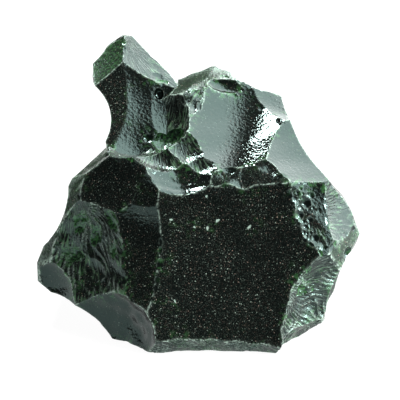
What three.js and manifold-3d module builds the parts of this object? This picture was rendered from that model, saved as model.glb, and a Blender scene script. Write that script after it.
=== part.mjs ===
// A landscape boulder: one broken lump of dark green glass that stands on a flat underside.
// It is made the way glass breaks. Two rough blanks, the body and the horn that rises from its left
// shoulder, are each given by a few corners. Every blow then takes off a flake and leaves a
// shell-shaped scar, which is part of a ball's surface, and two scars meet in a sharp ridge.
// Millimetres, +Z up. The origin is on the underside, below the middle of the boulder.

import * as THREE from "three";
import { ConvexGeometry } from "three/addons/geometries/ConvexGeometry.js";
import { mergeVertices } from "three/addons/utils/BufferGeometryUtils.js";
import Module from "manifold-3d";

const wasm = await Module();
wasm.setup();

// The corners and scars below are laid out looking square at the front: x to the right, y away from
// the viewer and z up. The boulder then leans back by LEAN_DEG to stand on its underside.
const LEAN_DEG = 22;

// How finely a scar's ball is faceted: how far a flat facet may lie from the ball, the edge of an
// icosahedron for each unit of its radius, and the fewest cuts along such an edge.
const FACET_SAG = 0.15;
const ICOSAHEDRON_EDGE = 1.05;
const LEAST_CUTS = 5;
const WELD_DISTANCE = 1e-4;

// Corners of the body's blank. The front ones stand well out, because scars take all of the front.
const BODY_CORNERS = [
  [80, -125, -170],
  [-75, -120, -165],
  [-97, -45, -132],
  [-161, -20, -80],
  [-161, -25, -62],
  [-153, -25, -38],
  [-125, -45, 21],
  [-92, -40, 50],
  [-60, -125, 45],
  [110, -125, 30],
  [118, -50, 31],
  [151, -50, -13],
  [157, -45, -33],
  [130, -30, -108],
  [92, -50, -140],
  [3, 20, 131],
  [15, 20, 134],
  [29, 15, 130],
  [82, 0, 103],
  [-22, 20, 121],
  [-125, 100, -10],
  [110, 110, 10],
  [0, 125, 80],
  [80, 118, -90],
  [-90, 120, -90],
  [140, 65, -50],
  [-150, 60, -60],
];

// Corners of the horn's blank, whose lower end is buried in the body.
const HORN_CORNERS = [
  [-66, 35, 167],
  [-78, 30, 167],
  [-94, 25, 155],
  [-108, 25, 138],
  [-109, 25, 124],
  [-17, 40, 121],
  [-10, -60, 80],
  [-88, -60, 50],
  [-105, -45, 130],
  [-70, -55, 150],
  [-88, 70, 50],
  [-20, 80, 100],
  [-92, 70, 140],
  [-62, 68, 152],
  [-85, -20, 0],
  [0, -20, 0],
  [-60, 90, 20],
];

// A scar passes through its seat, the deepest point of the hollow, and faces the way that the flake
// came off. A depth over 1 stretches its ball from front to back.
const HORN_SCARS = {
  hornFront: { seat: [-72, -5, 98], facing: [0.36, -0.9, 0.2], radius: 90 },
  hornRight: { seat: [-48, 11, 135], facing: [0.4, -0.68, 0.6], radius: 300 },
  hornTopLeft: { seat: [-90, 4, 148], facing: [-0.35, -0.8, 0.5], radius: 200 },
  hornLeft: { seat: [-85, 20, 75], facing: [-1, 0, 0], radius: 52, depth: 2.5 },
  hornBack: { seat: [-65, 58, 118], facing: [-0.15, 0.85, 0.5], radius: 110 },
  hornSide: { seat: [-30, 55, 105], facing: [0.8, 0.55, 0.2], radius: 90 },
  hornPit: { seat: [-41, 4, 106], facing: [0.1, -0.98, 0.1], radius: 7 },
};

const BODY_SCARS = {
  // the front face and the narrow bevel under it
  frontFace: { seat: [25, -85, -60], facing: [0.03, -1, 0], radius: 420 },
  footFront: { seat: [10, -82, -139], facing: [0, -0.55, -0.83], radius: 400 },

  // the left side, from the ridge beside the front face out to the heel
  leftFlank: { seat: [-80, -74, -50], facing: [-0.3, -0.95, 0], radius: 150 },
  leftLobe: { seat: [-95, -60, 8], facing: [-0.36, -0.93, 0.05], radius: 80 },
  leftLow: { seat: [-118, -50, -42], facing: [-0.4, -0.9, -0.1], radius: 160 },
  leftHeel: { seat: [-128, -27, -80], facing: [-0.6, -0.62, -0.5], radius: 200 },
  leftToe: { seat: [-82, -56, -105], facing: [-0.4, -0.66, -0.64], radius: 220 },
  leftNotch: { seat: [-130, -20, -5], facing: [-0.95, 0, 0.2], radius: 70, depth: 2 },
  heelUnder: { seat: [-115, -10, -108], facing: [-0.55, -0.2, -0.8], radius: 100 },

  // the right side
  rightCheek: { seat: [108, -80, -15], facing: [0.42, -0.9, 0.05], radius: 200 },
  rightEdge: { seat: [142, -61, -30], facing: [0.68, -0.68, 0.28], radius: 150 },
  rightLow: { seat: [112, -68, -88], facing: [0.5, -0.8, -0.35], radius: 100 },
  rightNotch: { seat: [128, -32, -80], facing: [0.9, -0.1, -0.35], radius: 80 },
  rightPit: { seat: [146, -62, -51.5], facing: [0.5, -0.85, 0], radius: 12 },
  shoulderRight: { seat: [96, 0, 60], facing: [0.9, 0, 0.44], radius: 160, depth: 3 },
  footRight: { seat: [93, -55, -131], facing: [0.6, -0.4, -0.7], radius: 60 },

  // the upper front: a lip, the large bowl behind it, and the crest above
  lip: { seat: [40, -90, 25], facing: [0, -0.95, 0.3], radius: 220 },
  lipRight: { seat: [92, -60, 42], facing: [0.3, -0.68, 0.67], radius: 200 },
  bowl: { seat: [40, -32, 62], facing: [0, -0.7, 0.71], radius: 110 },
  crestDark: { seat: [22, -8, 114], facing: [-0.1, -0.97, 0.2], radius: 50 },
  crestLight: { seat: [62, -2, 108], facing: [0.25, -0.7, 0.67], radius: 100 },
  crestNotch: { seat: [55, 12, 112], facing: [0.4, 0, 0.92], radius: 60, depth: 2 },
  crestLeft: { seat: [-6, 0, 125], facing: [-0.3, -0.8, 0.5], radius: 50 },

  // the small broken hollows at the foot of the horn
  saddle: { seat: [-25, -16, 88], facing: [-0.66, -0.74, 0.15], radius: 55 },
  ledge: { seat: [-75, -48, 46], facing: [0.05, -0.4, 0.91], radius: 60 },
  cupLeft: { seat: [-45, -55, 30], facing: [-0.05, -0.75, 0.65], radius: 40 },
  cupRight: { seat: [-14, -63, 24], facing: [0.1, -0.75, 0.66], radius: 32 },
  cupRim: { seat: [-20, -80, 8], facing: [0, -0.72, 0.7], radius: 60 },
  cupSpall: { seat: [-32, -38, 58], facing: [-0.2, -0.8, 0.55], radius: 16 },

  // the back and the two ends
  backTop: { seat: [40, 42, 108], facing: [0.25, 0.6, 0.76], radius: 130 },
  backUpper: { seat: [25, 80, 52], facing: [0.1, 0.85, 0.5], radius: 150 },
  backMiddle: { seat: [-25, 98, -15], facing: [-0.15, 0.98, 0.1], radius: 200 },
  backFoot: { seat: [20, 100, -62], facing: [0.1, 0.9, -0.4], radius: 160 },
  backRight: { seat: [95, 78, -5], facing: [0.6, 0.78, 0.15], radius: 140 },
  backLeft: { seat: [-112, 62, -20], facing: [-0.7, 0.7, 0.15], radius: 160 },
  shoulderBack: { seat: [88, 48, 58], facing: [0.72, 0.4, 0.57], radius: 130 },
  neckBack: { seat: [-105, 35, 25], facing: [-0.72, 0.35, 0.6], radius: 110 },
  sideRight: { seat: [140, 45, -20], facing: [0.9, 0.4, 0.2], radius: 120 },
  sideLeft: { seat: [-150, 25, -40], facing: [-0.9, 0.35, 0.3], radius: 140 },
};

// The underside is a plane through this point, level once the boulder leans back.
const UNDERSIDE_POINT = [0, -70, -145];
const CUTTER_SIZE = 900;

const lean = THREE.MathUtils.degToRad(LEAN_DEG);

// A closed geometry as a solid that can be joined and cut.
function solidOf(geometry) {
  const bare = geometry.index ? geometry.toNonIndexed() : geometry.clone();
  bare.deleteAttribute("normal");
  bare.deleteAttribute("uv");
  const merged = mergeVertices(bare, WELD_DISTANCE);
  const mesh = new wasm.Mesh({
    numProp: 3,
    vertProperties: new Float32Array(merged.attributes.position.array),
    triVerts: new Uint32Array(merged.index.array),
  });
  return new wasm.Manifold(mesh);
}

// A solid's surface as a three.js geometry.
function geometryOf(solid) {
  const { vertProperties, triVerts } = solid.getMesh();
  const geometry = new THREE.BufferGeometry();
  geometry.setAttribute("position", new THREE.BufferAttribute(new Float32Array(vertProperties), 3));
  geometry.setIndex(new THREE.BufferAttribute(new Uint32Array(triVerts), 1));
  return geometry;
}

// A blank: the smallest convex lump that holds the corners.
function blank(corners) {
  return solidOf(new ConvexGeometry(corners.map((corner) => new THREE.Vector3(...corner))));
}

// The ball whose surface passes through a scar's seat and lies square to the way that the scar faces.
function ball({ seat, facing, radius, depth = 1 }) {
  const facetEdge = Math.sqrt(8 * radius * FACET_SAG);
  const cuts = Math.max(LEAST_CUTS, Math.round((ICOSAHEDRON_EDGE * radius) / facetEdge));
  const out = new THREE.Vector3(...facing).normalize();
  const centre = new THREE.Vector3(...seat).addScaledVector(out, radius);
  const geometry = new THREE.IcosahedronGeometry(radius, cuts).scale(1, depth, 1);
  return solidOf(geometry.translate(...centre));
}

// Everything below the underside.
function ground() {
  const geometry = new THREE.BoxGeometry(CUTTER_SIZE, CUTTER_SIZE, CUTTER_SIZE);
  geometry.translate(0, 0, -CUTTER_SIZE / 2).rotateX(lean);
  return solidOf(geometry.translate(...UNDERSIDE_POINT));
}

// A lump with a flake struck off it for every scar.
function strike(lump, scars) {
  return Object.values(scars).reduce((rest, scar) => rest.subtract(ball(scar)), lump);
}

const horn = strike(blank(HORN_CORNERS), HORN_SCARS);
const body = strike(blank(BODY_CORNERS), BODY_SCARS);
const boulderSolid = body.add(horn).subtract(ground());

const boulderGeometry = geometryOf(boulderSolid).rotateX(-lean);
const box = new THREE.Box3().setFromBufferAttribute(boulderGeometry.getAttribute("position"));
const middle = box.getCenter(new THREE.Vector3());
boulderGeometry.translate(-middle.x, -middle.y, -box.min.z);

const darkGlass = new THREE.MeshStandardMaterial({ color: 0x0c1410, roughness: 0.12, metalness: 0 });

const boulder = new THREE.Mesh(boulderGeometry, darkGlass);
boulder.name = "boulder";

const part = new THREE.Group();
part.add(boulder);

export default part;
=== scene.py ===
"""A landscape boulder of dark green glass, broken into shell-shaped scars, in a plain studio.

The boulder is struck here as it is in the CAD model: a blank for the body and one for the horn, and a
flake off for every scar. The scars are fine surfaces with the ripples, tears and chips of broken glass.
"""
import logging
import math
from dataclasses import dataclass, replace
from enum import Enum

import bmesh
import bpy
import numpy as np
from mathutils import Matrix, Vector
from mathutils.bvhtree import BVHTree


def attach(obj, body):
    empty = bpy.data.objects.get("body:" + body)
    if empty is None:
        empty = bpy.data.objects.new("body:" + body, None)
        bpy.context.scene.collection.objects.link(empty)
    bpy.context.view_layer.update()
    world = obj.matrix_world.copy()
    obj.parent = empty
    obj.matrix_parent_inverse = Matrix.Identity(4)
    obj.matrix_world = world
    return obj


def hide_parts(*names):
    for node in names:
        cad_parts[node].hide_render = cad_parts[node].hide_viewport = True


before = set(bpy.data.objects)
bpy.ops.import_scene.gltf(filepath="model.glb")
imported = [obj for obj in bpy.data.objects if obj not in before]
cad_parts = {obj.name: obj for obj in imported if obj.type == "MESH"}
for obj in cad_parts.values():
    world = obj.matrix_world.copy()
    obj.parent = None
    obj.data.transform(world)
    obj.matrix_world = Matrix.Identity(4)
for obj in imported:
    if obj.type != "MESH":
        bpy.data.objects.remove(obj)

LOG = logging.getLogger("boulder")
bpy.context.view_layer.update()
MM = 0.001

# Summed waves differ in length by these factors.
WAVE_SPREAD = (0.65, 1.6)

# Ripples and tears wander with a slow field, and tears come and go in patches. Lengths in millimetres.
WANDER_LENGTH = 26.0
WANDER_SEED = 500
RIPPLE_WANDER = 0.25
TEAR_WANDER = 0.8
PATCH_LENGTH = 34.0
PATCH_SEED = 900
PATCH_SHARE = 0.6

# A ball's rings widen by a factor beyond its reach, up to the widest gap, and its last ring stays off the
# far pole by a share of the gap. A sector is wider than a ring by a factor.
RING_GROWTH = 1.3
WIDEST_GAP = 0.3
POLE_SHARE = 0.6
SECTOR_WIDTH = 1.5
SECTOR_COUNTS = (20, 300)

# A blank's slow waves, in millimetres, and the digits to which its shared points agree.
BLANK_WAVE_LENGTH = 24.0
WELD_DIGITS = 3

Triple = tuple[float, float, float]
Tint = tuple[float, float, float, float]
Array = np.ndarray
Socket = bpy.types.NodeSocket


@dataclass(frozen=True)
class FrontLayout:
    """The layout that corners and scars are given in: millimetres, looking square at the front.

    x runs to the right, y away from the viewer and z up. The boulder leans back from it to stand.
    """

    lean_deg: float = 22.0
    origin: Triple = (1.478, 10.965, 108.219)

    def turn(self) -> Array:
        """The rotation about X by which the boulder leans back, as a 3 by 3 array."""
        lean = math.radians(self.lean_deg)
        cos, sin = math.cos(lean), math.sin(lean)
        return np.array([[1.0, 0.0, 0.0], [0.0, cos, sin], [0.0, -sin, cos]])

    def to_frame(self, points: Array) -> Array:
        """Points of the layout, in millimetres, as points of the frame, in metres."""
        return (points @ self.turn().T + np.array(self.origin)) * MM

    def direction(self, way: Triple) -> Vector:
        """A direction of the layout as a unit direction of the frame."""
        return Vector(self.turn() @ np.array(way)).normalized()


LAYOUT = FrontLayout()


@dataclass(frozen=True)
class Relief:
    """The small relief of a broken face, in millimetres, and how clean it is, from 0 to 1."""

    wave_height: float = 0.45
    wave_length: float = 45.0
    ripple_height: float = 0.0
    ripple_length: float = 8.0
    tear_height: float = 0.0
    tear_length: float = 4.0
    frost: float = 0.0
    dust: float = 0.3
    # green is the share of a painted green glow of light through the glass, not the glass's own colour
    green: float = 0.0
    streaks: float = 0.0
    crushed: float = 0.0


class Break(Enum):
    """How the glass parted under a scar."""

    GLASSY = Relief()
    FRESH = Relief(wave_height=0.12, wave_length=5.0, dust=0.0)
    WAVY = Relief(wave_height=0.9, wave_length=26.0, dust=0.5)
    DUSTY = Relief(wave_height=0.6, wave_length=55.0, dust=1.0)
    RIPPLED = Relief(wave_height=0.35, wave_length=30.0, ripple_height=0.13, ripple_length=7.0, dust=0.4)
    TORN = Relief(
        wave_height=0.8, wave_length=22.0, tear_height=1.5, tear_length=5.0,
        frost=0.12, dust=0.6, streaks=1.0
    )
    ROUGH = Relief(
        wave_height=1.0, wave_length=16.0, tear_height=0.4, tear_length=4.0,
        frost=0.2, dust=0.9, streaks=0.15
    )
    STRIATED = Relief(
        wave_height=0.3, wave_length=20.0, tear_height=0.2, tear_length=3.0, dust=0.4, streaks=0.8
    )
    BRUISED = Relief(wave_height=0.1, wave_length=6.0, frost=0.5, dust=0.6, green=0.45)
    WEATHERED = Relief(wave_height=0.8, wave_length=24.0, frost=0.5, dust=1.0, green=0.2, streaks=0.3)
    SPALLED = Relief(
        wave_height=0.5, wave_length=7.0, tear_height=0.4, tear_length=3.0, green=1.0, streaks=0.3
    )
    CRUSHED = Relief(wave_height=0.15, wave_length=2.0, frost=1.0, dust=0.0, crushed=1.0)


@dataclass(frozen=True)
class Scar:
    """The shell-shaped hollow that a flake leaves, part of a ball's surface.

    The ball passes through the seat, square to the way that the scar faces, and is stretched along one
    direction. Ripples and tears spread from the struck point, given from the seat, and the grid is fine
    as far as reach from the seat.
    """

    seat: Triple
    facing: Triple
    radius: float
    parted: Break = Break.GLASSY
    stretch: float = 1.0
    along: Triple = (0.0, 1.0, 0.0)
    struck: Triple = (0.0, 0.0, 60.0)
    reach: float = 60.0
    step: float = 2.0

    def out(self) -> Array:
        """The unit direction that the scar faces."""
        way = np.array(self.facing)
        return way / np.linalg.norm(way)

    def centre(self) -> Array:
        """The ball's centre."""
        return np.array(self.seat) + self.out() * self.radius

    def stretched(self, ways: Array) -> Array:
        """Directions from the centre, stretched as the ball is."""
        along = np.array(self.along) / np.linalg.norm(self.along)
        return ways + (self.stretch - 1.0) * (ways @ along)[:, None] * along


def plane_waves(points: Array, length: float, seed: int, count: int = 7) -> Array:
    """A smooth uneven field: the sum of plane waves of about one length in mixed directions.

    Args:
        points: Where the field is wanted, in millimetres.
        length: The mean wave length, in millimetres.
        seed: Chooses the directions and phases.
        count: How many waves are summed.

    Returns:
        One value for each point, mostly between -1 and 1.
    """
    dice = np.random.default_rng(seed)
    ways = dice.normal(size=(count, 3))
    ways /= np.linalg.norm(ways, axis=1, keepdims=True)
    lengths = length * dice.uniform(*WAVE_SPREAD, size=(count, 1))
    phases = dice.uniform(0.0, 2.0 * math.pi, size=count)
    return np.sin(points @ (2.0 * math.pi * ways / lengths).T + phases).sum(axis=1) / math.sqrt(count)


def side_axes(out: Array) -> tuple[Array, Array]:
    """Two unit directions square to a third and to each other.

    Args:
        out: The third unit direction.

    Returns:
        The first and the second direction.
    """
    helper = np.array([0.0, 0.0, 1.0]) if abs(out[2]) < 0.9 else np.array([1.0, 0.0, 0.0])
    first = np.cross(helper, out)
    first /= np.linalg.norm(first)
    return first, np.cross(out, first)


def ring_angles(radius: float, reach: float, step: float) -> Array:
    """Angles of a ball's rings from its pole: even as far as reach, then wider and wider.

    Args:
        radius: The ball's radius, in millimetres.
        reach: How far along the ball the rings are even, in millimetres.
        step: The even rings' distance, in millimetres.

    Returns:
        The angles, in radians.
    """
    angles = []
    gap = step / radius
    angle = gap
    while angle < math.pi - POLE_SHARE * gap:
        angles.append(angle)
        if angle * radius > reach:
            gap = min(gap * RING_GROWTH, WIDEST_GAP)
        angle += gap
    return np.array(angles)


def scar_relief(scar: Scar, points: Array, seed: int) -> Array:
    """How much deeper than the plain ball a scar is at each point.

    Slow waves run all over. Ripples are a sine of the distance from the struck point. Tears are the
    folded sine of the angle about that point, so they run straight away from it.

    Args:
        scar: The scar.
        points: Points on its plain ball, in millimetres.
        seed: Chooses its waves.

    Returns:
        The extra depth at each point, in millimetres.
    """
    relief = scar.parted.value
    deeper = relief.wave_height * plane_waves(points, relief.wave_length, seed)
    away = points - (np.array(scar.seat) + np.array(scar.struck))
    distance = np.linalg.norm(away, axis=1)
    wander = plane_waves(points, WANDER_LENGTH, seed + WANDER_SEED)
    if relief.ripple_height:
        turns = distance / relief.ripple_length + RIPPLE_WANDER * wander
        deeper += relief.ripple_height * np.sin(2.0 * math.pi * turns)
    if relief.tear_height:
        first, second = side_axes(scar.out())
        angle = np.arctan2(away @ second, away @ first)
        folds = angle * scar.reach / relief.tear_length + TEAR_WANDER * wander
        patch = PATCH_SHARE + PATCH_SHARE * plane_waves(points, PATCH_LENGTH, seed + PATCH_SEED)
        patch = np.clip(patch, 0.0, 1.0)
        deeper += relief.tear_height * patch * (np.abs(np.sin(math.pi * folds)) - 0.5)
    return deeper


def ball_surface(scar: Scar, seed: int) -> tuple[Array, Array]:
    """A scar's closed ball as a polar grid about its seat.

    A point is the centre plus the radius, and the relief there, along a direction. The direction turns
    from the seat's pole by the ring's angle and about the pole by the sector's angle.

    Args:
        scar: The scar.
        seed: Chooses its relief.

    Returns:
        The points, in millimetres, and the triangles as rows of three point numbers.
    """
    rings = ring_angles(scar.radius, scar.reach, scar.step)
    widest = scar.radius * math.sin(min(scar.reach / scar.radius, 0.5 * math.pi))
    sectors = int(np.clip(2.0 * math.pi * widest / (SECTOR_WIDTH * scar.step), *SECTOR_COUNTS))
    out = scar.out()
    first, second = side_axes(out)
    ring, turn = np.meshgrid(rings, np.arange(sectors) * 2.0 * math.pi / sectors, indexing="ij")
    ring, turn = ring.ravel()[:, None], turn.ravel()[:, None]
    around = np.cos(turn) * first + np.sin(turn) * second
    ways = np.vstack([-out, -out * np.cos(ring) + around * np.sin(ring), out])
    ways = scar.stretched(ways)
    plain = scar.centre() + ways * scar.radius
    deep = scar.radius + scar_relief(scar, plain, seed)[:, None]
    return scar.centre() + ways * deep, polar_triangles(len(rings), sectors)


def polar_triangles(rings: int, sectors: int) -> Array:
    """Triangles of a closed polar grid: a fan at each pole and two for every cell between rings.

    Args:
        rings: How many rings there are between the poles.
        sectors: How many points a ring has.

    Returns:
        Rows of three point numbers.
    """
    here = np.arange(sectors)
    after = (here + 1) % sectors
    last = 1 + rings * sectors
    base = 1 + (np.arange(rings - 1) * sectors)[:, None]
    inner, inner_after = (base + here).ravel(), (base + after).ravel()
    outer, outer_after = inner + sectors, inner_after + sectors
    return np.vstack([
        np.column_stack([np.zeros(sectors, int), 1 + after, 1 + here]),
        np.column_stack([inner, inner_after, outer]),
        np.column_stack([inner_after, outer_after, outer]),
        np.column_stack([np.full(sectors, last), last - sectors + here, last - sectors + after]),
    ])


def mesh_object(name: str, points: Array, triangles: Array) -> bpy.types.Object:
    """A linked mesh object of points and triangles, at the origin.

    Args:
        name: The object's name.
        points: Rows of three coordinates.
        triangles: Rows of three point numbers.

    Returns:
        The object.
    """
    mesh = bpy.data.meshes.new(name)
    mesh.vertices.add(len(points))
    mesh.vertices.foreach_set("co", points.astype(np.float32).ravel())
    mesh.loops.add(triangles.size)
    mesh.loops.foreach_set("vertex_index", triangles.astype(np.int32).ravel())
    mesh.polygons.add(len(triangles))
    mesh.polygons.foreach_set("loop_start", np.arange(0, triangles.size, 3, dtype=np.int32))
    mesh.update(calc_edges=True)
    piece = bpy.data.objects.new(name, mesh)
    bpy.context.scene.collection.objects.link(piece)
    return piece


def discard(*pieces: bpy.types.Object) -> None:
    """Removes objects and their meshes.

    Args:
        *pieces: The objects.
    """
    for piece in pieces:
        mesh = piece.data
        bpy.data.objects.remove(piece)
        bpy.data.meshes.remove(mesh)


def hull_object(
    name: str, corners: tuple[Triple, ...], cuts: int = 1, wave_height: float = 0.0
) -> bpy.types.Object:
    """The smallest convex lump that holds the corners, as a linked object.

    Every flat face is a grid of two parameters, the shares of two of its corners, and its points then
    move outwards or inwards by slow waves.

    Args:
        name: The object's name.
        corners: The corners, in millimetres.
        cuts: How many parts each face's sides are cut into.
        wave_height: How high the waves are, in millimetres.

    Returns:
        The object.
    """
    shell = bmesh.new()
    for corner in corners:
        shell.verts.new(corner)
    bmesh.ops.convex_hull(shell, input=shell.verts)
    bmesh.ops.recalc_face_normals(shell, faces=shell.faces)
    faces = np.array([[corner.co[:] for corner in face.verts] for face in shell.faces])
    shell.free()
    steps = np.arange(cuts + 1)
    row, place = np.nonzero(np.add.outer(steps, steps) <= cuts)
    number = np.zeros((cuts + 2, cuts + 2), int)
    number[row, place] = np.arange(len(row))
    here, after = number[row, place], number[row, place + 1]
    below, beyond = number[row + 1, place], number[row + 1, place + 1]
    upright = np.column_stack([here, below, after])[row + place < cuts]
    turned = np.column_stack([below, beyond, after])[row + place < cuts - 1]
    cells = np.vstack([upright, turned])
    weights = np.column_stack([cuts - row - place, row, place]) / cuts
    points = np.einsum("pc,fcx->fpx", weights, faces).reshape(-1, 3)
    triangles = (np.arange(len(faces))[:, None, None] * len(row) + cells).reshape(-1, 3)
    _, first, back = np.unique(
        np.round(points, WELD_DIGITS), axis=0, return_index=True, return_inverse=True
    )
    points = points[first]
    middle = points.mean(axis=0)
    out = (points - middle) / np.linalg.norm(points - middle, axis=1, keepdims=True)
    waves = plane_waves(points, BLANK_WAVE_LENGTH, len(corners))
    points = points + out * wave_height * waves[:, None]
    return mesh_object(name, points, back.reshape(-1)[triangles])


def carve(lump: bpy.types.Object, tools: list[bpy.types.Object], how: str = "DIFFERENCE") -> None:
    """Cuts every tool from a lump, or joins it on, and discards the tools.

    Args:
        lump: The object to cut.
        tools: The objects to cut it with, each closed.
        how: The Boolean operation.
    """
    rack = bpy.data.collections.new("tools")
    bpy.context.scene.collection.children.link(rack)
    for tool in tools:
        rack.objects.link(tool)
    cut = lump.modifiers.new("carve", "BOOLEAN")
    cut.operation = how
    cut.solver = "MANIFOLD"
    cut.operand_type = "COLLECTION"
    cut.collection = rack
    cut.material_mode = "TRANSFER"
    seen = lump.evaluated_get(bpy.context.evaluated_depsgraph_get())
    done = bpy.data.meshes.new_from_object(seen)
    lump.modifiers.clear()
    before = lump.data
    lump.data = done
    bpy.data.meshes.remove(before)
    discard(*tools)
    bpy.data.collections.remove(rack)


def marker(name: str) -> bpy.types.Material:
    """The plain material by which faces remember their scar while the lump is carved."""
    return bpy.data.materials.get(name) or bpy.data.materials.new(name)


def scar_object(name: str, scar: Scar, seed: int, mark: str) -> bpy.types.Object:
    """A scar's ball as a tool that marks the faces it leaves.

    Args:
        name: The object's name.
        scar: The scar.
        seed: Chooses its relief.
        mark: The marker's name.

    Returns:
        The object.
    """
    tool = mesh_object(name, *ball_surface(scar, seed))
    tool.data.materials.append(marker(mark))
    return tool


class Facets:
    """A triangle mesh as arrays: its points, triangles, normals and edges."""

    def __init__(self, mesh: bpy.types.Mesh) -> None:
        """Reads a mesh.

        Args:
            mesh: A closed mesh that has only triangles.
        """
        count = len(mesh.polygons)
        self.points = np.empty(len(mesh.vertices) * 3)
        mesh.vertices.foreach_get("co", self.points)
        self.points = self.points.reshape(-1, 3)
        corners = np.empty(count * 3, np.int32)
        mesh.loops.foreach_get("vertex_index", corners)
        self.triangles = corners.reshape(-1, 3)
        edge_of = np.empty(count * 3, np.int32)
        mesh.loops.foreach_get("edge_index", edge_of)
        ends = np.empty(len(mesh.edges) * 2, np.int32)
        mesh.edges.foreach_get("vertices", ends)
        self.edges = ends.reshape(-1, 2)
        trio = self.points[self.triangles]
        square = np.cross(trio[:, 1] - trio[:, 0], trio[:, 2] - trio[:, 0])
        self.normals = square / np.maximum(np.linalg.norm(square, axis=1, keepdims=True), 1e-12)
        self.middles = trio.mean(axis=1)
        order = np.argsort(edge_of, kind="stable")
        first = np.searchsorted(edge_of[order], np.arange(len(self.edges)))
        self.sides = np.column_stack([order[first], order[np.minimum(first + 1, count * 3 - 1)]]) // 3

    def lengths(self) -> Array:
        """The length of each edge."""
        return np.linalg.norm(self.points[self.edges[:, 0]] - self.points[self.edges[:, 1]], axis=1)

    def bends(self) -> Array:
        """How far the surface bends over each edge.

        Returns:
            The bends, in degrees, negative where the surface bends inwards.
        """
        one, two = self.sides[:, 0], self.sides[:, 1]
        cosine = np.clip((self.normals[one] * self.normals[two]).sum(axis=1), -1.0, 1.0)
        rise = ((self.middles[two] - self.middles[one]) * self.normals[one]).sum(axis=1)
        return np.degrees(np.arccos(cosine)) * np.where(rise < 0.0, 1.0, -1.0)

    def spread(self, values: Array, fade: float, rounds: int) -> Array:
        """Lets a value at each point reach its neighbours, fading with the distance along the edges.

        Args:
            values: One value for each point.
            fade: The distance over which a value fades to about a third, in millimetres.
            rounds: How many edges a value can travel.

        Returns:
            The greatest value that reaches each point.
        """
        values = values.copy()
        keep = np.exp(-self.lengths() / fade)
        one, two = self.edges[:, 0], self.edges[:, 1]
        for _ in range(rounds):
            np.maximum.at(values, two, values[one] * keep)
            np.maximum.at(values, one, values[two] * keep)
        return values


def smooth_step(values: Array, low: float, high: float) -> Array:
    """0 up to low, 1 from high, and a smooth ramp between them."""
    part = np.clip((values - low) / (high - low), 0.0, 1.0)
    return part * part * (3.0 - 2.0 * part)


BODY_CORNERS: tuple[Triple, ...] = (
    (80, -125, -170), (-75, -120, -165), (-97, -45, -132), (-161, -20, -80), (-161, -25, -62),
    (-153, -25, -38), (-125, -45, 21), (-92, -40, 50), (-60, -125, 45), (110, -125, 30),
    (118, -50, 31), (151, -50, -13), (157, -45, -33), (130, -30, -108), (92, -50, -140),
    (3, 20, 131), (15, 20, 134), (29, 15, 130), (82, 0, 103), (-22, 20, 121),
    (-125, 100, -10), (110, 110, 10), (0, 125, 80), (80, 118, -90), (-90, 120, -90),
    (140, 65, -50), (-150, 60, -60),
)

HORN_CORNERS: tuple[Triple, ...] = (
    (-66, 35, 167), (-78, 30, 167), (-94, 25, 155), (-108, 25, 138), (-109, 25, 124),
    (-17, 40, 121), (-10, -60, 80), (-88, -60, 50), (-105, -45, 130), (-70, -55, 150),
    (-88, 70, 50), (-20, 80, 100), (-92, 70, 140), (-62, 68, 152), (-85, -20, 0),
    (0, -20, 0), (-60, 90, 20),
)

HORN_SCARS: dict[str, Scar] = {
    "hornFrontLeft": Scar((-88, -14.4, 98), (-0.05, -0.93, 0.36), 220, Break.DUSTY, reach=65),
    "hornFrontMiddle": Scar((-66, -13.5, 98), (0.22, -0.91, 0.34), 400, reach=65),
    "hornFrontRight": Scar((-50, -9.2, 98), (0.3, -0.9, 0.32), 160, reach=60),
    "hornRight": Scar(
        (-48, 11, 135), (0.36, -0.71, 0.6), 300,
        Break.STRIATED, struck=(-25, 0, 35), reach=45, step=1.3
    ),
    "hornTop": Scar((-45.5, 18, 142), (0.67, 0.2, 0.72), 250, reach=50),
    "hornTopLeft": Scar((-85, 12, 148), (-0.5, -0.66, 0.56), 200, Break.BRUISED, reach=35),
    "hornLeft": Scar((-85, 20, 75), (-1, 0, 0), 52, stretch=2.5),
    "hornBack": Scar((-65, 58, 118), (-0.15, 0.85, 0.5), 110, step=4),
    "hornSide": Scar((-30, 55, 105), (0.8, 0.55, 0.2), 90, step=4),
}

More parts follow.
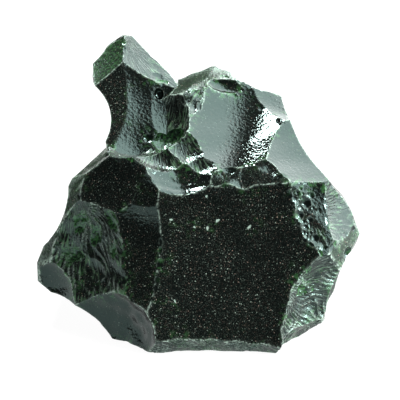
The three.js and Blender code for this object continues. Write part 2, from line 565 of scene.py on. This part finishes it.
BODY_SCARS: dict[str, Scar] = {
    # the front face and the narrow bevel under it
    "frontFace": Scar((25, -85, -60), (0.03, -1, 0), 600, Break.DUSTY, reach=130, step=3.4),
    "footFront": Scar((10, -82, -142), (0, -0.55, -0.83), 400, Break.TORN, reach=100, step=2.2),

    # the left side, from the ridge beside the front face out to the heel
    "leftFlank": Scar(
        (-82, -74.7, -46.7), (-0.3, -0.95, 0), 500, stretch=0.657, along=(0, 0, 1),
        parted=Break.DUSTY, reach=90, step=2.4
    ),
    "flankTop": Scar((-57, -87, -4), (-0.36, -0.93, 0.05), 120, Break.DUSTY, reach=40),
    "leftLobe": Scar((-95, -67, 8), (-0.34, -0.93, 0.15), 130, Break.DUSTY, reach=55, step=2.4),
    "leftLow": Scar((-118, -50, -42), (-0.4, -0.9, -0.1), 160, Break.TORN, reach=50, step=1.4),
    "leftHeel": Scar((-140, -36, -76), (-0.6, -0.75, -0.25), 70, Break.WAVY, reach=40),
    "leftToe": Scar((-78, -67, -103), (-0.5, -0.68, -0.54), 80, Break.WAVY, reach=45),
    "leftNotch": Scar((-130, -20, -5), (-0.95, 0, 0.2), 70, stretch=2, step=2.5),
    "heelUnder": Scar((-115, -10, -108), (-0.55, -0.2, -0.8), 100, step=2.5),

    # the right side
    "rightCheek": Scar((103, -85.5, -15), (0.3, -0.95, 0.05), 120, Break.ROUGH, reach=65),
    "rightSmooth": Scar((120, -79.4, -5), (0.35, -0.93, 0.08), 300, reach=50),
    "rightEdge": Scar(
        (142, -63.5, -30), (0.68, -0.68, 0.28), 150, Break.STRIATED, struck=(-90, -60, 0)
    ),
    "rightLow": Scar(
        (112, -68, -88), (0.5, -0.8, -0.35), 100, Break.TORN, struck=(-70, 0, 20), step=1.5
    ),
    "rightNotch": Scar((128, -32, -80), (0.9, -0.1, -0.35), 80, step=2.5),
    "shoulderRight": Scar((96, 0, 60), (0.9, 0, 0.44), 160, stretch=3, step=2.5),
    "footRight": Scar((93, -55, -131), (0.6, -0.4, -0.7), 60, Break.TORN, reach=45),

    # the upper front: a lip, the large bowl behind it, and the crest above
    "lip": Scar((40, -83.5, 25), (0, -0.9, 0.44), 220, Break.ROUGH),
    "lipRight": Scar((92, -60, 42), (0.3, -0.68, 0.67), 200),
    "bowl": Scar(
        (40, -43, 62), (0, -0.7, 0.71), 360, stretch=0.516, along=(0.903, -0.305, -0.301),
        reach=75, step=2.2
    ),
    "crestDark": Scar(
        (28, -1.5, 112.8), (0, -0.9, 0.43), 12, stretch=2.2, along=(1, 0, -0.25),
        parted=Break.RIPPLED, reach=24, step=1.1
    ),
    "crestLight": Scar((62, -2, 108), (0.3, -0.72, 0.63), 100, reach=35, step=1.3),
    "crestNotch": Scar((55, 12, 112), (0.4, 0, 0.92), 60, stretch=2, reach=40),
    "crestLeft": Scar(
        (-10, -20, 107), (0.15, -0.82, 0.55), 120,
        Break.TORN, struck=(40, 10, 50), reach=35, step=1.2
    ),

    # the small broken hollows at the foot of the horn
    "saddle": Scar(
        (-25, -16, 88), (-0.66, -0.74, 0.15), 55, Break.TORN, struck=(10, 0, 60), step=1.5
    ),
    "ledge": Scar((-75, -48, 46), (0.05, -0.4, 0.91), 60, reach=35, step=1.2),
    "cupLeft": Scar(
        (-41, -69, 36), (0.1, -0.75, 0.65), 70, stretch=0.5, along=(0.448, 0.619, 0.645),
        parted=Break.STRIATED, reach=40, step=1.4
    ),
    "cupRight": Scar((-20, -66, 43), (0.2, -0.72, 0.66), 40, Break.STRIATED, reach=30, step=1.4),
    "cupLow": Scar((-8, -77, 29), (0.2, -0.72, 0.66), 32, Break.STRIATED, reach=30, step=1.4),
    "cupRim": Scar((-18, -87, 9), (0.05, -0.72, 0.7), 50, Break.RIPPLED, reach=40, step=1.4),

    # the back and the two ends
    "backTop": Scar((40, 42, 108), (0.25, 0.6, 0.76), 130, step=4),
    "backUpper": Scar((25, 80, 52), (0.1, 0.85, 0.5), 150, Break.RIPPLED, step=4),
    "backMiddle": Scar((-25, 98, -15), (-0.15, 0.98, 0.1), 200, Break.RIPPLED, reach=80, step=4),
    "backFoot": Scar((20, 100, -62), (0.1, 0.9, -0.4), 160, Break.DUSTY, step=4),
    "backRight": Scar((95, 78, -5), (0.6, 0.78, 0.15), 140, Break.RIPPLED, step=4),
    "backLeft": Scar((-112, 62, -20), (-0.7, 0.7, 0.15), 160, Break.RIPPLED, step=4),
    "shoulderBack": Scar((88, 48, 58), (0.72, 0.4, 0.57), 130, step=4),
    "neckBack": Scar((-105, 35, 25), (-0.72, 0.35, 0.6), 110, step=4),
    "sideRight": Scar((140, 45, -20), (0.9, 0.4, 0.2), 120, step=4),
    "sideLeft": Scar((-150, 25, -40), (-0.9, 0.35, 0.3), 140, step=4),
}

# Where a chip's place is looked for from, its struck point, its grid's widest step and the step and reach
# for each millimetre of its radius, in millimetres.
CHIP_LOOK_FROM = -400.0
CHIP_STRUCK: Triple = (0.0, 0.0, 12.0)
CHIP_STEP = 1.2
CHIP_STEP_SHARE = 0.3
CHIP_REACH = 0.9


@dataclass(frozen=True)
class Chip:
    """A small flake at a place of the front, where a straight look from the front meets the lump.

    The flake bites into the surface there, in millimetres, and leans away from the surface's own facing.
    """

    across: float
    up: float
    lean: Triple
    radius: float
    bite: float
    parted: Break = Break.FRESH
    stretch: float = 1.0
    along: Triple = (1.0, 0.0, 0.0)

    def scar(self, surface: BVHTree) -> Scar:
        """The chip as a scar, seated below the surface.

        Args:
            surface: The lump.

        Returns:
            The scar.
        """
        start = Vector((self.across, CHIP_LOOK_FROM, self.up))
        place, out, _, _ = surface.ray_cast(start, Vector((0.0, 1.0, 0.0)))
        way = (out + Vector(self.lean)).normalized()
        seat = tuple(place - way * self.bite)
        fine = min(CHIP_STEP, CHIP_STEP_SHARE * self.radius)
        return Scar(
            seat, tuple(way), self.radius, self.parted, self.stretch, self.along,
            struck=CHIP_STRUCK, reach=CHIP_REACH * self.radius, step=fine
        )


CHIPS: tuple[Chip, ...] = (
    # the crest
    Chip(24, 124, (0, 0, 0), 10, 0.6, Break.SPALLED),
    # the bowl's left rim and the horn
    Chip(-45, 121, (0.2, 0.1, 0.2), 22, 0.8),
    Chip(-35, 119, (-0.2, 0, -0.2), 8, 0.5, Break.SPALLED, stretch=1.6),
    Chip(-41, 106, (0, 0, -0.1), 5, 5.0, stretch=1.3, along=(0, 0, 1)),
    Chip(-76, 157, (0.2, 0, 0.1), 12, 0.5, Break.SPALLED),
    # the hollows at the foot of the horn
    Chip(-32, 60, (0, 0, 0), 20, 3.5, Break.SPALLED),
    Chip(-29.5, 62, (0, 0, -0.2), 7, 5.0, stretch=1.4),
    Chip(-50.5, 62, (0, 0, -0.2), 7, 2.2, stretch=1.3, along=(0.8, 0, 0.4)),
    Chip(-67, 41, (0, 0, 0), 14, 0.6, Break.SPALLED),
    # the front face
    Chip(16.7, -20, (0.1, 0, 0), 3.5, 0.25, Break.CRUSHED, stretch=1.6, along=(0.8, 0, 0.5)),
    Chip(7.4, -28, (-0.1, 0, 0.1), 2.5, 0.2, Break.CRUSHED, stretch=2, along=(0.2, 0, 1)),
    Chip(-5.4, -26.4, (0, 0, 0), 3.0, 0.2, Break.CRUSHED),
    Chip(-27.6, -19.3, (0, 0, 0), 3.2, 0.2, Break.CRUSHED, stretch=1.5),
    Chip(47.4, -27, (0.1, 0, 0.1), 3.2, 0.25, Break.CRUSHED, stretch=2, along=(0.7, 0, 0.6)),
    Chip(6.7, 3.6, (0, 0, 0), 3.2, 0.2, Break.CRUSHED),
    Chip(-24.7, -97.9, (0, 0, 0), 2.0, 0.15, Break.CRUSHED, stretch=3.2, along=(0.6, 0, -0.75)),
    # the right side
    Chip(132.5, -43.5, (0, 0, 0), 10, 0.5, Break.SPALLED),
    Chip(118.5, -50, (0, 0, 0), 12, 0.5, Break.SPALLED),
    Chip(146, -51.5, (0, 0, -0.2), 8, 3.2, stretch=1.3),
    Chip(105, -70, (0, 0, 0.1), 12, 0.5, Break.SPALLED),
    Chip(112, -84, (0.1, 0, 0), 14, 0.5, Break.SPALLED),
    Chip(96, -92, (0, 0, 0), 12, 0.5, Break.SPALLED),
    # the left side
    Chip(-120, -30, (0, 0, 0.1), 14, 0.4, Break.SPALLED, stretch=1.6, along=(0.4, 0, 1)),
    Chip(-98, -38, (0, 0, 0), 12, 0.4, Break.SPALLED, stretch=1.8, along=(0.3, 0, 1)),
    Chip(-90, -22, (0, 0, 0.1), 10, 0.4, Break.SPALLED, stretch=1.8, along=(-0.5, 0, 1)),
    Chip(-132, -52, (0, 0, 0), 12, 0.4, Break.SPALLED, stretch=2),
    Chip(-84, -52, (0, 0, 0), 10, 0.4, Break.SPALLED, stretch=2, along=(0.2, 0, 1)),
)


@dataclass(frozen=True)
class Sparkle:
    """The band of tiny bright breaks down the right of the front face, in millimetres."""

    seed: int = 3
    count: int = 26
    across: tuple[float, float] = (94.0, 110.0)
    up: tuple[float, float] = (-45.0, 14.0)
    radius: tuple[float, float] = (4.0, 9.0)
    lean: Triple = (0.2, 0.1, 0.15)
    unevenness: float = 0.06
    bite_share: float = 0.06

    def chips(self) -> list[Chip]:
        """Scatters the breaks by seed.

        Returns:
            A chip for each break.
        """
        dice = np.random.default_rng(self.seed)
        across = dice.uniform(*self.across, size=self.count)
        up = dice.uniform(*self.up, size=self.count)
        radius = dice.uniform(*self.radius, size=self.count)
        lean = np.array(self.lean) + dice.normal(scale=self.unevenness, size=(self.count, 3))
        rows = zip(across.tolist(), up.tolist(), lean.tolist(), radius.tolist())
        return [Chip(x, z, tuple(way), ball, self.bite_share * ball) for x, z, way, ball in rows]


class Nodes:
    """A short way to add and join the nodes of one tree."""

    def __init__(self, tree: bpy.types.NodeTree) -> None:
        """Works on a node tree."""
        self.tree = tree

    def add(self, kind: str, settings: dict | None = None, **sockets: object) -> bpy.types.Node:
        """Adds a node.

        Args:
            kind: The node's type, without the leading ShaderNode.
            settings: Its plain properties.
            **sockets: Its inputs by name, with _ for a space, each a value or a socket to join.

        Returns:
            The new node.
        """
        node = self.tree.nodes.new("ShaderNode" + kind)
        for name, value in (settings or {}).items():
            setattr(node, name, value)
        for name, value in sockets.items():
            self.feed(node.inputs[name.replace("_", " ")], value)
        return node

    def feed(self, socket: Socket, value: object) -> None:
        """Joins a socket to another, or sets its value."""
        if isinstance(value, Socket):
            self.tree.links.new(value, socket)
        else:
            socket.default_value = value

    def math(self, operation: str, first: object, second: object = 0.0) -> Socket:
        """One sum, product or other plain operation on two values.

        Args:
            operation: The operation's name.
            first: A value or a socket.
            second: Another.

        Returns:
            The result's socket.
        """
        node = self.tree.nodes.new("ShaderNodeMath")
        node.operation = operation
        self.feed(node.inputs[0], first)
        self.feed(node.inputs[1], second)
        return node.outputs[0]

    def ramp(self, value: object, low: float, high: float, start: float = 0, end: float = 1) -> Socket:
        """A value from low to high carried to the range from start to end, and held there."""
        node = self.add("MapRange", Value=value, From_Min=low, From_Max=high, To_Min=start, To_Max=end)
        return node.outputs["Result"]

    def blend(self, part: object, first: object, second: object) -> Socket:
        """A colour between two others.

        Args:
            part: The share of the second colour.
            first: A colour or a socket.
            second: Another.

        Returns:
            The colour's socket.
        """
        node = self.tree.nodes.new("ShaderNodeMix")
        node.data_type = "RGBA"
        for socket, value in zip((node.inputs[0], node.inputs[6], node.inputs[7]), (part, first, second)):
            self.feed(socket, value)
        return node.outputs[2]

    def noise(self, place: Socket, size: float, detail: float) -> Socket:
        """A noise whose features are about one size, in millimetres."""
        node = self.add("TexNoise", Vector=place, Scale=1.0 / (size * MM), Detail=detail)
        return node.outputs["Fac"]


def colour(red: float, green: float, blue: float) -> Tint:
    """A full, solid colour."""
    return (red, green, blue, 1.0)


@dataclass(frozen=True)
class DarkGlass:
    """Nearly black green glass: glossy, finely pitted and dusty, its ridges paler (partly crushed wear,
    partly a painted highlight), with a painted green glow where thin.
    """

    body: Tint = colour(0.002, 0.003, 0.0025)
    # the green of a painted glow, where light would shine through thin glass
    painted_thin_glow: Tint = colour(0.035, 0.12, 0.035)
    # the pale of crushed glass, for crushed chips and pale lines, and also painted along the ridges as a
    # painted highlight
    crushed: Tint = colour(0.34, 0.45, 0.38)
    dust: Tint = colour(0.36, 0.46, 0.38)
    rust: Tint = colour(0.36, 0.27, 0.22)
    gloss_tint: Tint = colour(0.66, 1.0, 0.93)
    polish: float = 0.05
    frosting: float = 0.38
    ior: float = 1.5
    ridge_sharpness: float = 3.0
    worn_dullness: float = 0.8
    grit_size: float = 2.2
    patch_size: float = 28.0
    shred_size: float = 5.0
    pit_size: float = 3.0
    pit_depth: float = 0.35
    speck_size: float = 1.5
    speck_falloff: float = 4.0
    powder_size: float = 0.9
    powder: float = 0.14
    streak_width: float = 1.6
    streak_length: float = 14.0
    streak_depth: float = 0.9
    hackle: float = 0.2

    def build(self) -> bpy.types.Material:
        """Makes the material from object coordinates and the boulder's own attributes.

        Returns:
            The material.
        """
        material = bpy.data.materials.new("dark_glass")
        material.use_nodes = True
        nodes = Nodes(material.node_tree)
        shader = material.node_tree.nodes["Principled BSDF"]
        place = nodes.add("TexCoord").outputs["Object"]
        ridge, painted_thin_glow, frost, dust, green, streaks, crushed = (
            nodes.add("Attribute", {"attribute_name": name}).outputs["Fac"]
            for name in ("ridge", "painted_thin_glow", "frost", "dust", "green", "streaks", "crushed")
        )

        # lines along the tears, in the grain's own map
        grain = nodes.add("UVMap", {"uv_map": "grain"}).outputs["UV"]
        drawn = nodes.add("VectorMath", {"operation": "MULTIPLY"})
        nodes.feed(drawn.inputs[0], grain)
        nodes.feed(drawn.inputs[1], (1.0 / (self.streak_width * MM), 1.0 / (self.streak_length * MM), 1.0))
        lines = nodes.add("TexNoise", Vector=drawn.outputs["Vector"], Scale=1.0, Detail=3.0).outputs["Fac"]

        # specks of dust and a fine powder, in patches
        grit = nodes.noise(place, self.grit_size, 3.0)
        patches = nodes.noise(place, self.patch_size, 2.0)
        powder = nodes.noise(place, self.powder_size, 1.0)
        cells = nodes.add("TexVoronoi", Vector=place, Scale=1.0 / (self.speck_size * MM))
        chance = nodes.add("SeparateColor", Color=cells.outputs["Color"])
        size = nodes.ramp(chance.outputs[0], 0.0, 1.0, 0.12, 0.42)
        inside = nodes.ramp(nodes.math("SUBTRACT", size, cells.outputs["Distance"]), 0.0, 0.1)
        speck = nodes.math("MULTIPLY", inside, nodes.math("POWER", chance.outputs[1], self.speck_falloff))
        speck = nodes.math("ADD", speck, nodes.ramp(powder, 0.52, 0.8, 0.0, self.powder))
        speck = nodes.math("MULTIPLY", speck, nodes.ramp(patches, 0.35, 0.6, 0.55, 1.0))
        speck = nodes.math("MULTIPLY", speck, dust)
        warm = nodes.ramp(chance.outputs[2], 0.55, 0.75)

        # ridges painted paler, partly as crushed wear and partly as a painted highlight; crushed chips and
        # pale lines; and a painted green glow of light through the glass where it is thin or torn
        # the ridges' pale line: partly crushed wear, partly a painted highlight
        line = nodes.math("POWER", ridge, self.ridge_sharpness)
        wear_and_highlight = nodes.math("MULTIPLY", line, nodes.ramp(grit, 0.38, 0.56))
        wear_and_highlight = nodes.math("MAXIMUM", wear_and_highlight, crushed)
        pale = nodes.math("MULTIPLY", nodes.ramp(lines, 0.5, 0.72, 0.0, self.hackle), streaks)
        wear_and_highlight = nodes.math("MAXIMUM", wear_and_highlight, pale)
        # painted green glow of light through the glass: in patches near the ridges, along the tears and on
        # green-marked faces
        shreds = nodes.ramp(nodes.noise(place, self.shred_size, 4.0), 0.5, 0.62)
        shreds = nodes.math("MULTIPLY", shreds, nodes.ramp(patches, 0.45, 0.6))
        hairs = nodes.math("MULTIPLY", nodes.ramp(lines, 0.55, 0.68), nodes.ramp(patches, 0.42, 0.55))
        hairs = nodes.math("MULTIPLY", hairs, streaks)
        painted_glow = nodes.math("MAXIMUM", nodes.math("MULTIPLY", painted_thin_glow, shreds), hairs)
        spall_glow = nodes.math("MULTIPLY", green, nodes.ramp(grit, 0.42, 0.62, 0.1, 1.0))
        painted_glow = nodes.math("MAXIMUM", painted_glow, spall_glow)
        shade = nodes.blend(painted_glow, self.body, self.painted_thin_glow)
        shade = nodes.blend(wear_and_highlight, shade, self.crushed)
        shade = nodes.blend(speck, shade, nodes.blend(warm, self.dust, self.rust))
        nodes.feed(shader.inputs["Base Color"], shade)

        dull = nodes.math("MAXIMUM", frost, nodes.math("MULTIPLY", wear_and_highlight, self.worn_dullness))
        dull = nodes.math("MAXIMUM", dull, speck)
        nodes.feed(shader.inputs["Roughness"], nodes.ramp(dull, 0.0, 1.0, self.polish, self.frosting))

        # fine pits, and furrows along the lines
        pits = nodes.noise(place, self.pit_size, 2.0)
        drawn_out = nodes.math("MULTIPLY", nodes.math("MULTIPLY", lines, streaks), self.streak_depth)
        height = nodes.math("ADD", nodes.math("MULTIPLY", pits, self.pit_depth), drawn_out)
        bump = nodes.add("Bump", Strength=1.0, Distance=MM, Height=height)
        nodes.feed(shader.inputs["Normal"], bump.outputs["Normal"])
        shader.inputs["IOR"].default_value = self.ior
        shader.inputs["Specular Tint"].default_value = self.gloss_tint
        return material


@dataclass(frozen=True)
class EdgeChips:
    """Small flakes broken off the sharp ridges, scattered by seed, in millimetres."""

    seed: int = 7
    spacing: float = 10.0
    radius: tuple[float, float] = (8.0, 22.0)
    bite: tuple[float, float] = (0.3, 1.0)
    least_bend: float = 22.0
    lean: float = 0.7
    unevenness: float = 0.25
    reach_share: float = 0.8
    step: float = 2.2
    bite_slack: float = 1.3
    slack: float = 0.2

    def scatter(self, facets: Facets, marks: Array, surface: BVHTree) -> list[Scar]:
        """Picks places along the ridges between scars and leans each chip to one side.

        Args:
            facets: The lump so far.
            marks: Each face's scar, as a number.
            surface: The lump, to leave out chips whose ball would cut it elsewhere too.

        Returns:
            A small scar for each chip.
        """
        dice = np.random.default_rng(self.seed)
        bends = facets.bends()
        meets = marks[facets.sides[:, 0]] != marks[facets.sides[:, 1]]
        lengths = np.where((bends > self.least_bend) & meets, facets.lengths(), 0.0)
        count = int(lengths.sum() / self.spacing)
        picks = dice.choice(len(lengths), size=count, p=lengths / lengths.sum())
        one, two = facets.normals[facets.sides[picks, 0]], facets.normals[facets.sides[picks, 1]]
        lean = dice.uniform(-self.lean, self.lean, size=(count, 1))
        facing = one + two + lean * (one - two) + dice.normal(scale=self.unevenness, size=(count, 3))
        facing /= np.linalg.norm(facing, axis=1, keepdims=True)
        size = dice.power(2.0, size=count)[::-1]
        radius = self.radius[1] - (self.radius[1] - self.radius[0]) * size
        bite = dice.uniform(*self.bite, size=count) * radius / self.radius[1]
        seats = facets.points[facets.edges[picks]].mean(axis=1) - facing * bite[:, None]
        chips = [
            Scar(
                tuple(seat), tuple(way), ball, Break.FRESH, reach=self.reach_share * ball, step=self.step
            )
            for seat, way, ball in zip(seats, facing, radius.tolist())
        ]
        gaps = np.array([surface.find_nearest(Vector(chip.centre()))[3] for chip in chips])
        clear = gaps > radius - self.bite_slack * bite - self.slack
        return [chip for chip, alone in zip(chips, clear) if alone]


# A face whose marker isn't a scar's own is dressed as one of these.
PLAIN_SCAR = Scar((0, 0, 0), (0, -1, 0), 1)


@dataclass
class Boulder:
    """The lump of glass: a body and a horn, each a blank with flakes struck off."""

    underside: Triple = (0.0, -70.0, -145.0)
    cutter: float = 900.0
    blank_cuts: int = 9
    blank_waves: float = 0.8
    tear_lines: float = 0.8
    chip_lines: float = 0.6
    ridge_bends: tuple[float, float] = (10.0, 34.0)
    ridge_fade: float = 1.1
    ridge_rounds: int = 6
    thin_fade: float = 5.0
    # how far from the ridges the painted green glow of light through thin glass reaches
    thin_rounds: int = 14
    grain_shift: float = 37.0
    smooth_deg: float = 24.0

    def strike(self, name: str, corners: tuple[Triple, ...], scars: dict[str, Scar]) -> bpy.types.Object:
        """A blank with a flake struck off it for every scar.

        Args:
            name: The object's name.
            corners: The blank's corners.
            scars: The scars by their names.

        Returns:
            The lump.
        """
        lump = hull_object(name, corners, self.blank_cuts, self.blank_waves)
        lump.data.materials.append(marker("blank"))
        carve(lump, [scar_object(key, scar, seed, key) for seed, (key, scar) in enumerate(scars.items())])
        return lump

    def ground(self) -> bpy.types.Object:
        """Everything below the underside, as a box whose top is level once the boulder leans back."""
        sides = (-0.5 * self.cutter, 0.5 * self.cutter)
        grid = np.array([(x, y, z) for x in sides for y in sides for z in (-self.cutter, 0.0)])
        return hull_object("ground", tuple(map(tuple, grid @ LAYOUT.turn() + np.array(self.underside))))

    def build(self) -> bpy.types.Object:
        """Strikes the body and the horn, joins them, cuts the underside and breaks off the chips.

        Returns:
            The lump in the front layout, its faces marked by scar.
        """
        lump = self.strike("glass_boulder", BODY_CORNERS, BODY_SCARS)
        carve(lump, [self.strike("horn", HORN_CORNERS, HORN_SCARS)], "UNION")
        carve(lump, [self.ground()])
        self.triangulate(lump)
        facets = Facets(lump.data)
        surface = BVHTree.FromPolygons(facets.points.tolist(), facets.triangles.tolist())
        chips = EdgeChips().scatter(facets, self.marks(lump.data), surface)
        placed = [chip.scar(surface) for chip in (*CHIPS, *Sparkle().chips())]
        flakes = enumerate(chips + placed)
        carve(lump, [scar_object(f"chip_{seed}", chip, seed, chip.parted.name) for seed, chip in flakes])
        self.triangulate(lump)
        LOG.info("%d edge chips and %d placed chips", len(chips), len(placed))
        return lump

    def marks(self, mesh: bpy.types.Mesh) -> Array:
        """Each face's scar, as the number of its marker."""
        marks = np.empty(len(mesh.polygons), np.int32)
        mesh.polygons.foreach_get("material_index", marks)
        return marks

    def triangulate(self, lump: bpy.types.Object) -> None:
        """Makes every face a triangle."""
        shell = bmesh.new()
        shell.from_mesh(lump.data)
        bmesh.ops.triangulate(shell, faces=shell.faces)
        shell.to_mesh(lump.data)
        shell.free()

    def scars(self) -> dict[str, Scar]:
        """Every scar by the name that its faces are marked with."""
        kinds = {kind.name: replace(PLAIN_SCAR, parted=kind) for kind in Break}
        return {**BODY_SCARS, **HORN_SCARS, **kinds, "blank": kinds["WEATHERED"]}

    def lay_grain(self, mesh: bpy.types.Mesh, facets: Facets, known: list[Scar], marks: Array) -> None:
        """Lays a map: across is the angle about a scar's struck point and up the distance from it.

        Args:
            mesh: The mesh to lay it on.
            facets: The same mesh as arrays.
            known: The scar of each marker.
            marks: Each face's marker.
        """
        corners = facets.points[facets.triangles].reshape(-1, 3)
        which = np.repeat(marks, 3)
        grain = np.zeros((len(corners), 2))
        for at, scar in enumerate(known):
            mine = which == at
            away = corners[mine] - (np.array(scar.seat) + np.array(scar.struck))
            first, second = side_axes(scar.out())
            grain[mine, 0] = np.arctan2(away @ second, away @ first) * scar.reach + self.grain_shift * at
            grain[mine, 1] = np.linalg.norm(away, axis=1)
        layer = mesh.uv_layers.new(name="grain")
        layer.uv.foreach_set("vector", (grain * MM).astype(np.float32).ravel())

    def write(self, mesh: bpy.types.Mesh, name: str, domain: str, values: Array) -> None:
        """Keeps one number for each point or face of the mesh under a name."""
        layer = mesh.attributes.new(name, "FLOAT", domain)
        layer.data.foreach_set("value", values.astype(np.float32))

    def dress(self, lump: bpy.types.Object) -> None:
        """Marks ridges, the painted green glow of light through the thin glass near them, frost and dust,
        stands the boulder up and gives it its glass.

        Args:
            lump: The lump in the front layout, its faces marked by scar.
        """
        mesh = lump.data
        facets = Facets(mesh)
        marks = self.marks(mesh)
        one, two = marks[facets.sides[:, 0]], marks[facets.sides[:, 1]]
        small = [at for at, slot in enumerate(mesh.materials) if slot and slot.name in Break.__members__]
        weight = np.where(one == two, self.tear_lines, 1.0)
        weight = np.where(np.isin(one, small) | np.isin(two, small), self.chip_lines, weight)
        sharp = smooth_step(facets.bends(), *self.ridge_bends) * weight
        start = np.zeros(len(facets.points))
        for end in (0, 1):
            np.maximum.at(start, facets.edges[:, end], sharp)
        self.write(mesh, "ridge", "POINT", facets.spread(start, self.ridge_fade, self.ridge_rounds))
        # nearness to a ridge, where a painted green glow of light through thin glass goes
        self.write(mesh, "painted_thin_glow", "POINT", facets.spread(start, self.thin_fade, self.thin_rounds))
        scars = self.scars()
        known = [scars.get(slot.name if slot else "", PLAIN_SCAR) for slot in mesh.materials]
        for name in ("frost", "dust", "green", "streaks", "crushed"):
            amounts = np.array([getattr(scar.parted.value, name) for scar in known])
            self.write(mesh, name, "FACE", amounts[marks])
        self.lay_grain(mesh, facets, known, marks)
        mesh.vertices.foreach_set("co", LAYOUT.to_frame(facets.points).astype(np.float32).ravel())
        mesh.polygons.foreach_set("use_smooth", np.ones(len(mesh.polygons), bool))
        mesh.set_sharp_from_angle(angle=math.radians(self.smooth_deg))
        mesh.materials.clear()
        mesh.materials.append(DarkGlass().build())
        mesh.update()


@dataclass(frozen=True)
class Lamp:
    """A soft box aimed at the boulder from one direction, in metres and watts."""

    name: str
    way: Triple
    size: float
    power: float
    distance: float = 1.7

    def hang(self) -> None:
        """Puts the lamp in the scene."""
        way = Vector(self.way).normalized()
        light = bpy.data.lights.new(self.name, "AREA")
        light.energy = self.power
        light.size = self.size
        holder = bpy.data.objects.new(self.name, light)
        holder.location = Vector(LAYOUT.origin) * MM + way * self.distance
        holder.rotation_euler = (-way).to_track_quat("-Z", "Y").to_euler()
        bpy.context.scene.collection.objects.link(holder)


@dataclass
class Studio:
    """A pale floor, a wide soft light from the right and above, two lamps and the camera, in metres."""

    floor_size: float = 8.0
    floor_shade: float = 0.06
    floor_dip: float = 0.97
    floor_grain: float = 40.0
    floor_roughness: float = 0.9
    floor_glow: float = 0.97
    sky_way: Triple = (0.85, 0.404, 0.333)
    sky_edge: tuple[float, float] = (0.47, 0.59)
    sky_light: float = 6.3
    dim_light: float = 0.08
    key_lamp: Lamp = Lamp("key_lamp", (-0.295, 0.45, 0.844), 0.42, 50.0)
    side_lamp: Lamp = Lamp("side_lamp", (0.86, -0.25, 0.45), 0.35, 25.0)
    camera_distance: float = 3.0
    photo_width: float = 0.4
    sensor: float = 36.0

    def build(self) -> None:
        """Sets up the floor, the lights and the camera."""
        self.lay_floor()
        self.light_sky()
        self.key_lamp.hang()
        self.side_lamp.hang()
        self.set_camera()

    def lay_floor(self) -> None:
        """A wide pale floor with a faint grain."""
        half = 0.5 * self.floor_size
        corners = np.array([(-half, -half, 0), (half, -half, 0), (half, half, 0), (-half, half, 0)])
        floor = mesh_object("floor", corners, np.array([(0, 1, 2), (0, 2, 3)]))
        material = bpy.data.materials.new("pale_floor")
        material.use_nodes = True
        nodes = Nodes(material.node_tree)
        shader = material.node_tree.nodes["Principled BSDF"]
        place = nodes.add("TexCoord").outputs["Object"]
        grain = nodes.add("TexNoise", Vector=place, Scale=self.floor_grain)
        low, high = colour(*(self.floor_dip * self.floor_shade,) * 3), colour(*(self.floor_shade,) * 3)
        nodes.feed(shader.inputs["Base Color"], nodes.blend(grain.outputs["Fac"], low, high))
        shader.inputs["Roughness"].default_value = self.floor_roughness
        shader.inputs["Emission Color"].default_value = colour(1.0, 1.0, 1.0)
        shader.inputs["Emission Strength"].default_value = self.floor_glow
        floor.data.materials.append(material)

    def light_sky(self) -> None:
        """A soft light that fills the sky about one direction and ends in a fairly clear edge."""
        world = bpy.data.worlds.new("studio")
        world.use_nodes = True
        bpy.context.scene.world = world
        nodes = Nodes(world.node_tree)
        shader = world.node_tree.nodes["Background"]
        shader.inputs["Color"].default_value = colour(1.0, 1.0, 1.0)
        way = nodes.add("TexCoord").outputs["Generated"]
        axis = Vector(self.sky_way).normalized()
        facing = nodes.add("VectorMath", {"operation": "DOT_PRODUCT"})
        nodes.feed(facing.inputs[0], way)
        nodes.feed(facing.inputs[1], axis)
        painted_glow = nodes.ramp(facing.outputs["Value"], *self.sky_edge, self.dim_light, self.sky_light)
        nodes.feed(shader.inputs["Strength"], painted_glow)

    def set_camera(self) -> None:
        """A long lens square to the front layout, where a millimetre is a pixel of the photograph."""
        back = LAYOUT.direction((0.0, -1.0, 0.0))
        lens = bpy.data.cameras.new("camera")
        lens.sensor_width = self.sensor
        lens.lens = self.sensor * self.camera_distance / self.photo_width
        camera = bpy.data.objects.new("camera", lens)
        camera.location = Vector(LAYOUT.origin) * MM + back * self.camera_distance
        camera.rotation_euler = (-back).to_track_quat("-Z", "Y").to_euler()
        bpy.context.scene.collection.objects.link(camera)
        bpy.context.scene.camera = camera
        bpy.context.scene.view_settings.view_transform = "Standard"


def main() -> None:
    """Builds and dresses the boulder in place of the imported part, and builds the studio."""
    logging.basicConfig(level=logging.INFO, format="%(name)s: %(message)s")
    boulder = Boulder()
    lump = boulder.build()
    boulder.dress(lump)
    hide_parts("boulder")
    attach(lump, "root")
    LOG.info("%s: %d triangles", lump.name, len(lump.data.polygons))
    Studio().build()


if __name__ == "__main__":
    main()
